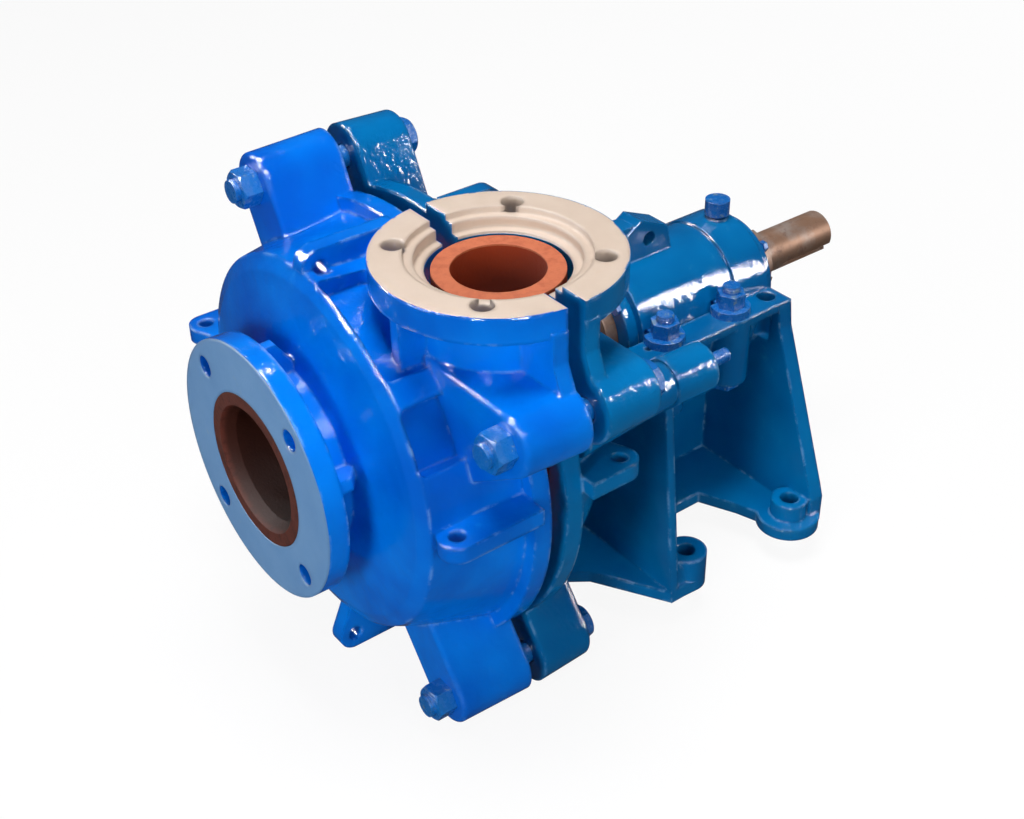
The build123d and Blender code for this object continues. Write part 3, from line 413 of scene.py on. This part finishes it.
# Pieces that show little: light and dark colour, roughness, metal share and the pattern of the grain
plainMetals = {
    "iron": (srgb(120, 110, 104), srgb(84, 74, 68), 0.45, 0.4, (300.0, 3.0, 0.6)),
    "bronze": (srgb(178, 134, 74), srgb(140, 98, 50), 0.35, 0.85, (500.0, 3.0, 0.6)),
    "packing": (srgb(108, 102, 92), srgb(70, 66, 60), 0.8, 0.0, (900.0, 3.0, 0.6)),
    "clouds": (60.0, 4.0, 0.6),
    "cloudEdge": (0.3, 0.7),
    "cloudDullness": 0.15,
    "grainBump": (0.0003, 0.6),
    "softEdge": 0.001,
}


def plainMetal(name, kind):
    f = Finish(name)
    tone = plainMetals
    light, dark, rough, metallic, grain = tone[kind]
    cloud = f.noise(*tone["clouds"])
    colour = f.mix(cloud.rise(*tone["cloudEdge"]), dark, light)
    normal = f.bump(f.noise(*grain), *tone["grainBump"], f.softEdges(tone["softEdge"]))
    rough = rough + tone["cloudDullness"] * cloud
    return f.surface(Base_Color=colour, Roughness=rough, Metallic=metallic, Normal=normal)


finishes = {
    "coverPaint": castEnamel("cover_enamel", blueEnamel, turned=True),
    "framePaint": castEnamel("frame_plate_enamel", framePaintedLightBlue, turned=True),
    "basePaint": castEnamel("base_enamel", framePaintedLightBlue, lumps=0.8),
    "housingPaint": castEnamel("housing_enamel", framePaintedLightBlue, lumps=0.5, soft=0.6),
    "linerRing": linerPrimer("liner_primer", "ring", "ringDark", "paintedShadeBore", portInside),
    "bushPrimer": linerPrimer("bush_primer", "lip", "lipDark", "paintedShadeThroat", throatInside),
    "nutPaint": boltPaint("nut_enamel", wear=0.36),
    "boltPaint": boltPaint("bolt_enamel", wear=0.36),
    "studPaint": boltPaint("stud_enamel", wear=0.4, threaded=True),
    "clampPaint": boltPaint("clamp_enamel", wear=0.4),
    "shaftSteel": turnedSteel("shaft_steel", rust=0.8),
    "innerSteel": turnedSteel("inner_steel", rust=0.1),
    "whiteIron": plainMetal("impeller_iron", "iron"),
    "bronze": plainMetal("ring_bronze", "bronze"),
    "packing": plainMetal("packing_braid", "packing"),
}

# a node that isn't named here is an inner piece of steel
nodeFinish = {
    "cover_plate": "coverPaint",
    "frame_plate": "framePaint",
    "base_frame": "basePaint",
    "bearing_housing": "housingPaint",
    "front_end_cover": "housingPaint",
    "rear_end_cover": "housingPaint",
    "grease_neck": "housingPaint",
    "grease_cap": "clampPaint",
    "casing_bolts": "boltPaint",
    "casing_nuts": "nutPaint",
    "frame_studs": "boltPaint",
    "frame_stud_nuts": "nutPaint",
    "adjusting_screw": "studPaint",
    "screw_lock_nut": "nutPaint",
    "adjusting_nuts": "nutPaint",
    "end_cover_screws": "nutPaint",
    "clamp_bolts": "clampPaint",
    "clamp_nuts": "clampPaint",
    "clamp_washers": "clampPaint",
    "volute_liner": "linerRing",
    "back_liner": "bushPrimer",
    "throat_bush": "bushPrimer",
    "impeller": "whiteIron",
    "stuffing_box": "housingPaint",
    "gland_halves": "housingPaint",
    "neck_ring": "bronze",
    "lantern_ring": "bronze",
    "front_cage": "bronze",
    "rear_cage": "bronze",
    "packing_rings": "packing",
    "shaft": "shaftSteel",
}
for name, piece in nodes.items():
    piece.data.materials.clear()
    piece.data.materials.append(finishes[nodeFinish.get(name, "innerSteel")])
print("finishes set:", len(finishes))

# Threads on the bare ends of the bolts; foot is how deep the ridge sits in the bar, in metres
threadCut = {
    "pitch": 0.0022,
    "ridge": 0.00045,
    "foot": 0.0003,
    "widthShare": 0.44,
    "stepsPerTurn": 28,
}
# a bare end is its start and end along the axis, then the two other places of the bar's middle line
threadedBars = {
    "casing_threads": {
        "radius": 0.010, "axis": "x", "holder": "casing_bolts", "finish": "boltPaint",
        "ends": (
            (-0.3618, -0.3572, 0.1235, 0.399),
            (-0.3498, -0.3452, -0.205, 0.309),
            (-0.3618, -0.3572, -0.1275, 0.0005),
            (-0.3618, -0.3572, 0.224, 0.073),
        ),
    },
    "frame_stud_threads": {
        "radius": 0.006, "axis": "x", "holder": "frame_studs", "finish": "boltPaint",
        "ends": (
            (-0.0728, -0.0532, 0.158, 0.256),
            (-0.0728, -0.0532, -0.158, 0.256),
            (-0.1478, -0.1282, 0.045, 0.056),
            (-0.1478, -0.1282, -0.045, 0.056),
        ),
    },
    "clamp_threads": {
        "radius": 0.008, "axis": "z", "holder": "clamp_bolts", "finish": "clampPaint",
        "ends": (
            (0.2482, 0.2548, -0.047, 0.074),
            (0.2482, 0.2548, 0.036, 0.074),
            (0.2482, 0.2548, -0.047, -0.074),
            (0.2482, 0.2548, 0.036, -0.074),
        ),
    },
}


def threadMesh(name, radius, axis, ends):
    # each bare end gets a closed three-sided ridge: the axial place grows by one pitch in each turn,
    # and the ridge's foot and crest lie on circles round the bar's middle line
    pitch = threadCut["pitch"]
    half = pitch * threadCut["widthShare"]
    foot, crest = radius - threadCut["foot"], radius + threadCut["ridge"]
    across = np.array((-half, 0.0, half))
    out = np.array((foot, crest, foot))
    points, faces, base = [], [], 0
    for low, high, first, second in ends:
        turns = (high - low - 2 * half) / pitch
        steps = int(turns * threadCut["stepsPerTurn"]) + 1
        angle = np.linspace(0.0, turns * 2 * math.pi, steps)[:, None]
        along = low + half + angle / (2 * math.pi) * pitch + across
        u, v = first + out * np.cos(angle), second + out * np.sin(angle)
        rows = np.stack((along, u, v) if axis == "x" else (u, v, along), axis=-1)
        points.append(rows.reshape(-1, 3))
        row = np.arange(steps - 1)[:, None] * 3
        corner = np.arange(3)[None, :]
        following = (corner + 1) % 3
        quads = np.stack((row + 3 + corner, row + 3 + following, row + following, row + corner), axis=-1)
        faces += (quads.reshape(-1, 4) + base).tolist()
        last = base + 3 * steps - 1
        faces += [[base, base + 1, base + 2], [last, last - 1, last - 2]]
        base += 3 * steps
    mesh = bpy.data.meshes.new(name)
    mesh.from_pydata(np.concatenate(points).tolist(), [], faces)
    mesh.update()
    return mesh


for name, row in threadedBars.items():
    thread = bpy.data.objects.new(name, threadMesh(name, row["radius"], row["axis"], row["ends"]))
    thread.data.materials.append(finishes[row["finish"]])
    bpy.context.scene.collection.objects.link(thread)
    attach(thread, "pump_base")
print("threads cut:", len(threadedBars))

# Camera at the photograph's place
view = {
    "place": (-0.8668, -0.9298, 0.9647),
    "forward": (0.4955, 0.6575, -0.5678),
    "roll": 0.97,
    "lens": 53.52,
    "sensor": 36.0,
    "nearest": 0.05,
}
forward = Vector(view["forward"]).normalized()
right = forward.cross(Vector((0, 0, 1))).normalized()
up = right.cross(forward)
turn = math.radians(view["roll"])
right, up = right * math.cos(turn) - up * math.sin(turn), up * math.cos(turn) + right * math.sin(turn)
cameraData = bpy.data.cameras.new("camera")
cameraData.lens = view["lens"]
cameraData.sensor_width = view["sensor"]
cameraData.clip_start = view["nearest"]
camera = bpy.data.objects.new("camera", cameraData)
camera.matrix_world = Matrix((
    (right.x, up.x, -forward.x, view["place"][0]),
    (right.y, up.y, -forward.y, view["place"][1]),
    (right.z, up.z, -forward.z, view["place"][2]),
    (0, 0, 0, 1),
))
bpy.context.scene.collection.objects.link(camera)
bpy.context.scene.camera = camera

# A lamp is its name, place, aim, width and height, watts and kind: soft lamps light the paint
# without a glare, and the narrow ones give its shine
studio = {
    "lamps": (
        ("overhead", (-0.3, -0.1, 2.4), (-0.1, 0.0, 0.2), (1.0, 1.0), 48.0, "soft"),
        ("leftBox", (-2.4, -0.8, 0.9), (-0.3, 0.0, 0.2), (0.9, 0.9), 31.0, "soft"),
        ("rightFill", (-0.5, -2.4, 1.0), (-0.1, 0.0, 0.25), (0.9, 0.9), 20.0, "soft"),
        ("rearFill", (2.3, 0.4, 1.1), (0.0, 0.0, 0.2), (0.9, 0.9), 14.0, "soft"),
        ("stripTop", (-0.4, 0.6, 2.2), (-0.2, 0.0, 0.3), (1.4, 0.12), 110.0, "shine"),
        ("stripLeft", (-2.2, 0.6, 1.7), (-0.25, 0.0, 0.3), (0.12, 1.2), 90.0, "shine"),
        ("stripFront", (-1.5, -0.9, 2.1), (-0.25, 0.0, 0.3), (0.11, 0.9), 84.0, "shine"),
        ("stripNear", (-0.6, -1.6, 2.2), (-0.25, 0.0, 0.3), (0.1, 0.8), 66.0, "shine"),
        ("stripFar", (-1.5, 1.8, 1.4), (-0.25, 0.0, 0.3), (0.12, 1.2), 100.0, "shine"),
        ("stripRight", (1.4, -1.6, 1.0), (-0.2, 0.0, 0.3), (0.05, 1.0), 26.0, "shine"),
    ),
    "white": (1.0, 1.0, 1.0, 1.0),
    "whiteLight": 1.0,
    "worldTint": (0.9, 0.95, 1.0, 1.0),
    "worldLight": 0.1,
    "mirroredLight": 0.06,
    "floorDrop": 0.0005,
    "floorSize": 8.0,
    "floorGrey": (0.32, 0.32, 0.32, 1.0),
    "floorGlow": 1.2,
    "floorGlowShare": 0.76,
}
for name, place, aim, size, power, kind in studio["lamps"]:
    lampData = bpy.data.lights.new(name, "AREA")
    lampData.shape = "RECTANGLE"
    lampData.size, lampData.size_y = size
    lampData.energy = power
    lamp = bpy.data.objects.new(name, lampData)
    lamp.location = place
    lamp.visible_glossy = kind == "shine"
    lamp.visible_diffuse = kind == "soft"
    lamp.rotation_euler = (Vector(aim) - Vector(place)).to_track_quat("-Z", "Y").to_euler()
    bpy.context.scene.collection.objects.link(lamp)

# the world is white to the camera, lights the paint a little and shows faintly in its gloss
world = bpy.data.worlds.new("studio")
bpy.context.scene.world = world
world.use_nodes = True
tree = world.node_tree
tree.nodes.clear()
rays = tree.nodes.new("ShaderNodeLightPath")
dim = tree.nodes.new("ShaderNodeBackground")
dim.inputs[0].default_value = studio["worldTint"]
dim.inputs[1].default_value = studio["worldLight"]
dark = tree.nodes.new("ShaderNodeBackground")
dark.inputs[1].default_value = studio["mirroredLight"]
glossBlend = tree.nodes.new("ShaderNodeMixShader")
tree.links.new(rays.outputs["Is Glossy Ray"], glossBlend.inputs[0])
tree.links.new(dim.outputs[0], glossBlend.inputs[1])
tree.links.new(dark.outputs[0], glossBlend.inputs[2])
white = tree.nodes.new("ShaderNodeBackground")
white.inputs[0].default_value = studio["white"]
white.inputs[1].default_value = studio["whiteLight"]
blend = tree.nodes.new("ShaderNodeMixShader")
end = tree.nodes.new("ShaderNodeOutputWorld")
tree.links.new(rays.outputs["Is Camera Ray"], blend.inputs[0])
tree.links.new(glossBlend.outputs[0], blend.inputs[1])
tree.links.new(white.outputs[0], blend.inputs[2])
tree.links.new(blend.outputs[0], end.inputs[0])

# the floor glows to the camera alone, so it stays pale round the shadow and lends the paint no light
floorMesh = bpy.data.meshes.new("floor")
half = studio["floorSize"] / 2
low = cadBox[0][2] - studio["floorDrop"]
corners = [(-half, -half, low), (half, -half, low), (half, half, low), (-half, half, low)]
floorMesh.from_pydata(corners, [], [(0, 1, 2, 3)])
floor = bpy.data.objects.new("floor", floorMesh)
bpy.context.scene.collection.objects.link(floor)
floor.visible_glossy = False
f = Finish("floor_white")
rayMask = f.node("ShaderNodeLightPath").out("Is Camera Ray")
plainFloor = f.node("ShaderNodeBsdfDiffuse", {}, {0: studio["floorGrey"]})
glow = f.node("ShaderNodeEmission", {}, {0: studio["white"], 1: studio["floorGlow"]})
mixed = {0: rayMask * studio["floorGlowShare"], 1: plainFloor.out(0), 2: glow.out(0)}
joined = f.node("ShaderNodeMixShader", {}, mixed)
output = f.tree.nodes.new("ShaderNodeOutputMaterial")
f.tree.links.new(joined.node.outputs[0], output.inputs[0])
floorMesh.materials.append(f.material)
bpy.context.scene.view_settings.view_transform = "Standard"
print("studio ready")
